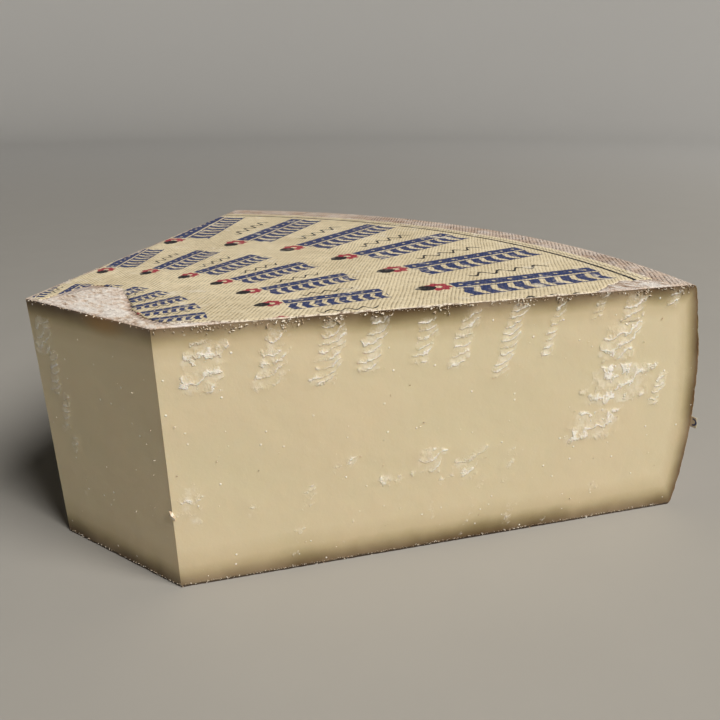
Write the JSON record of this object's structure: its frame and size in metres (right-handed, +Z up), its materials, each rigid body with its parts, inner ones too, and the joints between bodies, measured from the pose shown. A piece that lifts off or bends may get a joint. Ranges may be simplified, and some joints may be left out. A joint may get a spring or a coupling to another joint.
{
  "type": "cheese wedge",
  "caption": "Large wedge of hard mountain cheese with a blunt nose, flat cut faces, a bulging rind-covered heel and a round printed paper label on its upper face.",
  "frame": {"origin": "under the middle of the wedge's bounding box, on the plane it stands on", "axes": "+Z up from the lower face; +X across the wedge along the bulging heel, its longest side; +Y from the nose to the heel"},
  "size_m": [0.3512, 0.2738, 0.1163],
  "materials": {
    "cheese": "smooth, slightly waxy cut paste, pale straw, browner close to the rind; the rind is dry, matt and pinkish brown with a cloth imprint",
    "label_paper": "matt aged paper pressed on the rind, printed in navy, red and black",
    "scrap_paper": "matt cream paper with a navy printed stroke"
  },
  "bodies": {
    "root": {"cheese_wedge": "cheese", "printed_label": "label_paper", "heel_label_scrap": "scrap_paper"}
  },
  "joints": []
}
